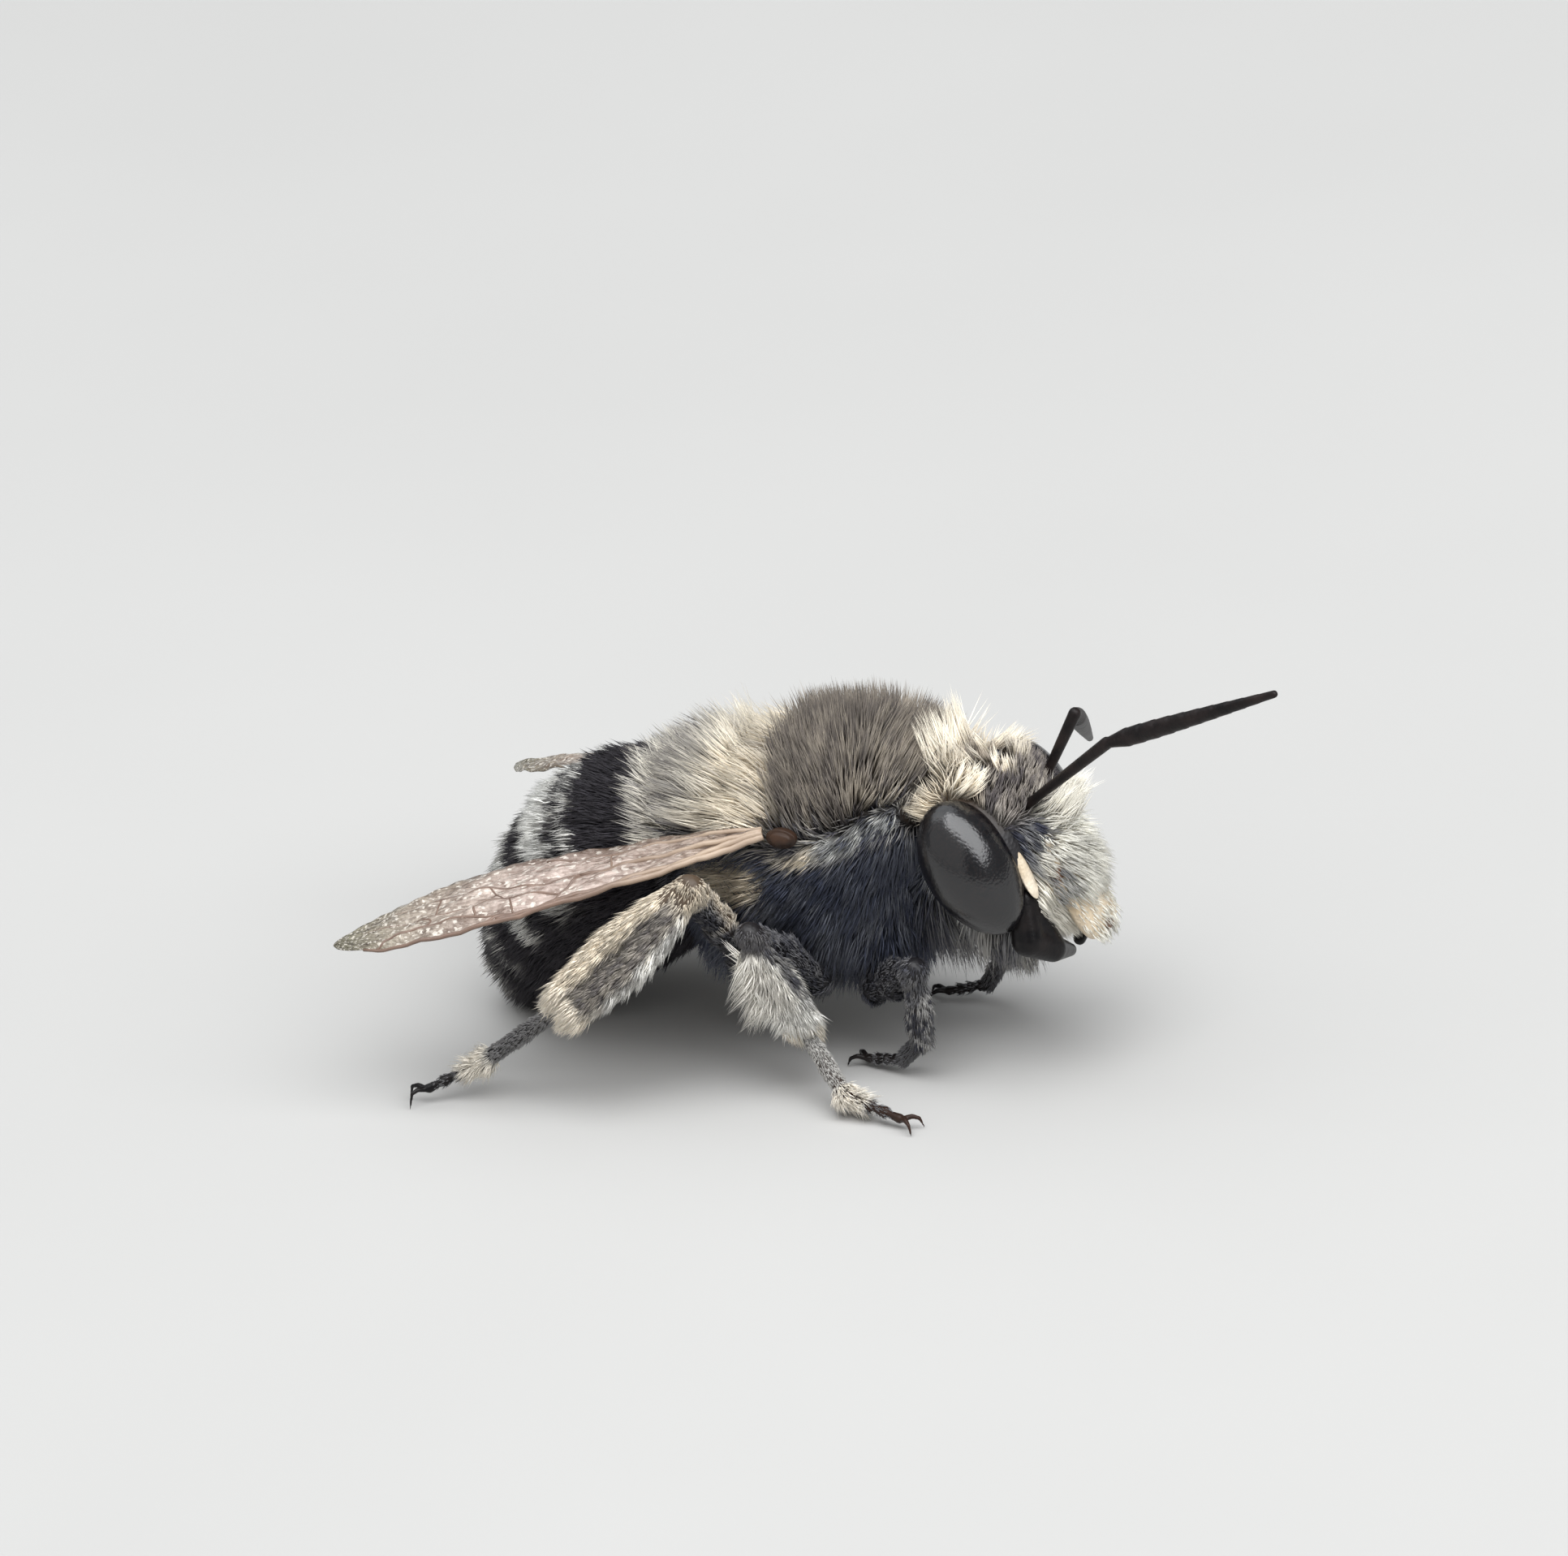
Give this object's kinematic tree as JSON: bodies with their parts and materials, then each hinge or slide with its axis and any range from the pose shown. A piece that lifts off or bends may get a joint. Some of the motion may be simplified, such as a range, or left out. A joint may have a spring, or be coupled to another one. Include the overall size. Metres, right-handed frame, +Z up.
{
  "type": "flower bee",
  "caption": "Furry male flower bee standing at rest, wings swept back along its sides, head raised and feelers out.",
  "frame": {"origin": "on the floor under the centre of the bee's bounding box", "axes": "+X the way the bee faces, +Y its left, +Z up"},
  "size_m": [0.0188, 0.011, 0.0089],
  "materials": {
    "dark_coat": "dark grey-brown hair",
    "pale_coat": "buff hair",
    "leg_coat": "whitish hair over dark shell",
    "face": "satin cream shell",
    "shell": "satin black shell",
    "eye": "glossy faceted",
    "wing": "clear brownish membrane with brown veins"
  },
  "bodies": {
    "root": {"head": "dark_coat", "clypeus": "face", "labrum": "face", "eye_right": "eye", "mandible_right": "shell", "antenna_right_scape": "shell", "antenna_right_flagellum": "shell", "eye_left": "eye", "mandible_left": "shell", "antenna_left_scape": "shell", "antenna_left_flagellum": "shell", "thorax": "dark_coat", "tegula_right": "shell", "forewing_right": "wing", "hindwing_right": "wing", "tegula_left": "shell", "forewing_left": "wing", "hindwing_left": "wing", "abdomen_1": "pale_coat", "abdomen_2": "dark_coat", "abdomen_3": "dark_coat", "abdomen_4": "dark_coat", "abdomen_5": "dark_coat", "abdomen_6": "dark_coat", "leg_front_right_coxa": "shell", "leg_front_right_femur": "dark_coat", "leg_front_right_tibia": "leg_coat", "leg_front_right_basitarsus": "shell", "leg_front_right_tarsus": "shell", "leg_front_left_coxa": "shell", "leg_front_left_femur": "dark_coat", "leg_front_left_tibia": "leg_coat", "leg_front_left_basitarsus": "shell", "leg_front_left_tarsus": "shell", "leg_middle_right_coxa": "shell", "leg_middle_right_femur": "dark_coat", "leg_middle_right_tibia": "leg_coat", "leg_middle_right_basitarsus": "shell", "leg_middle_right_tarsus": "shell", "leg_middle_left_coxa": "shell", "leg_middle_left_femur": "dark_coat", "leg_middle_left_tibia": "leg_coat", "leg_middle_left_basitarsus": "shell", "leg_middle_left_tarsus": "shell", "leg_hind_right_coxa": "shell", "leg_hind_right_femur": "dark_coat", "leg_hind_right_tibia": "leg_coat", "leg_hind_right_basitarsus": "shell", "leg_hind_right_tarsus": "shell", "leg_hind_left_coxa": "shell", "leg_hind_left_femur": "dark_coat", "leg_hind_left_tibia": "leg_coat", "leg_hind_left_basitarsus": "shell", "leg_hind_left_tarsus": "shell"}
  },
  "joints": []
}
